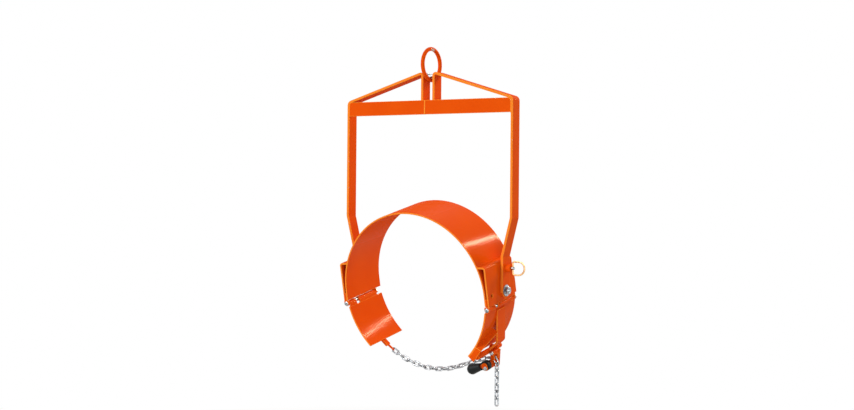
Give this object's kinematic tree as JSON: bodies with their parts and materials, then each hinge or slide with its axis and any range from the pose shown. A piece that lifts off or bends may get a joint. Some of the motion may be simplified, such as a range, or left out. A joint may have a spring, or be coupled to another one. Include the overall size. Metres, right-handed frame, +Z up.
{
  "type": "drum handler",
  "caption": "Crane-hung drum handler: ring-topped strap yoke, tilting half-round saddle with lock pin, and hinged wings drawn together under the drum by a chain and eccentric lever.",
  "frame": {"origin": "crown of the lifting ring's eye, where the hook bears", "axes": "+Z up, +X along the crossbar towards the tilt lock, +Y to the back of the saddle; saddle stored tilted 12.7 degrees about X with its back end up"},
  "size_m": [0.7365, 0.3071, 1.251],
  "materials": {
    "orange_paint": "gloss orange paint",
    "zinc_plated_steel": "bright zinc plate",
    "yellow_zinc": "yellow zinc plate",
    "bronze": "plain bronze",
    "black_rubber": "satin black rubber"
  },
  "bodies": {
    "lifting_ring": {"lifting_ring": "orange_paint"},
    "yoke": {"ring_stud": "zinc_plated_steel", "ring_stud_nuts": "zinc_plated_steel", "left_strap": "orange_paint", "right_strap": "orange_paint", "crossbar": "orange_paint", "crossbar_weld": "orange_paint", "left_pivot_bush": "bronze", "right_pivot_bush": "bronze", "lock_boss": "orange_paint"},
    "lock_pin": {"lock_pin": "zinc_plated_steel", "lock_spring": "zinc_plated_steel"},
    "pull_ring": {"pull_ring": "yellow_zinc"},
    "saddle": {"saddle_band": "orange_paint", "left_bracket": "orange_paint", "right_bracket": "orange_paint", "left_bracket_bar": "orange_paint", "right_bracket_bar": "orange_paint", "left_trunnion": "zinc_plated_steel", "right_trunnion": "zinc_plated_steel", "pivot_washers": "zinc_plated_steel", "pivot_nuts": "zinc_plated_steel", "left_hinge_lugs": "orange_paint", "right_hinge_lugs": "orange_paint", "left_hinge_rod": "zinc_plated_steel", "right_hinge_rod": "zinc_plated_steel", "hinge_rod_nuts": "zinc_plated_steel"},
    "right_wing": {"right_wing_plate": "orange_paint", "right_knuckle_front": "orange_paint", "right_knuckle_rear": "orange_paint", "right_arm": "orange_paint", "right_rib": "orange_paint", "cross_tube": "orange_paint", "frame_plate": "orange_paint", "chain_claw": "orange_paint", "claw_bolt": "zinc_plated_steel", "claw_bolt_nut": "zinc_plated_steel", "lever_pin": "zinc_plated_steel", "lever_pin_nut": "zinc_plated_steel", "chain_catch": "zinc_plated_steel"},
    "tightener_lever": {"tightener_cam": "orange_paint", "lever_bar": "orange_paint", "lever_collar": "black_rubber", "lever_grip": "black_rubber"},
    "chain_tail": {"chain_tail": "zinc_plated_steel"},
    "left_wing": {"left_wing_plate": "orange_paint", "left_knuckle_front": "orange_paint", "left_knuckle_rear": "orange_paint", "anchor_eye": "orange_paint"},
    "chain_run": {"chain_run": "zinc_plated_steel"}
  },
  "joints": [
    {"name": "yoke_swing", "type": "hinge", "parent": "lifting_ring", "child": "yoke", "pos_m": [0, 0, -0.0887], "axis": [1, 0, 0], "range_deg": [-100, 100]},
    {"name": "saddle_tilt", "type": "hinge", "parent": "yoke", "child": "saddle", "pos_m": [0, 0, -0.8307], "axis": [1, 0, 0], "continuous": true},
    {"name": "lock_pin_pull", "type": "slide", "parent": "yoke", "child": "lock_pin", "axis": [1, 0, 0], "range_m": [0, 0.008], "stiffness_N_per_m": 800, "springref_m": -0.008, "deforming": ["lock_spring"]},
    {"name": "pull_ring_flop", "type": "hinge", "parent": "lock_pin", "child": "pull_ring", "pos_m": [0.34, 0, -0.7552], "axis": [0, 0, 1], "range_deg": [-85, 85]},
    {"name": "right_wing_hinge", "type": "hinge", "parent": "saddle", "child": "right_wing", "pos_m": [0.2935, 0.00967, -0.87362], "axis": [0, 0.9755, 0.2198], "range_deg": [-80, 0]},
    {"name": "lever_swing", "type": "hinge", "parent": "right_wing", "child": "tightener_lever", "pos_m": [0.23307, 0.05842, -1.08992], "axis": [0, 0.9755, 0.2198], "range_deg": [-66, 0]},
    {"name": "tail_swing", "type": "hinge", "parent": "right_wing", "child": "chain_tail", "pos_m": [0.25201, 0.04619, -1.09024], "axis": [1, 0, 0], "range_deg": [-30, 40]},
    {"name": "left_wing_hinge", "type": "hinge", "parent": "saddle", "child": "left_wing", "pos_m": [-0.2935, 0.00967, -0.87362], "axis": [0, -0.9755, -0.2198], "range_deg": [-80, 0]},
    {"name": "chain_swing", "type": "hinge", "parent": "left_wing", "child": "chain_run", "pos_m": [-0.18072, 0.03969, -1.06141], "axis": [0, -0.9755, -0.2198], "range_deg": [-20, 0]}
  ]
}
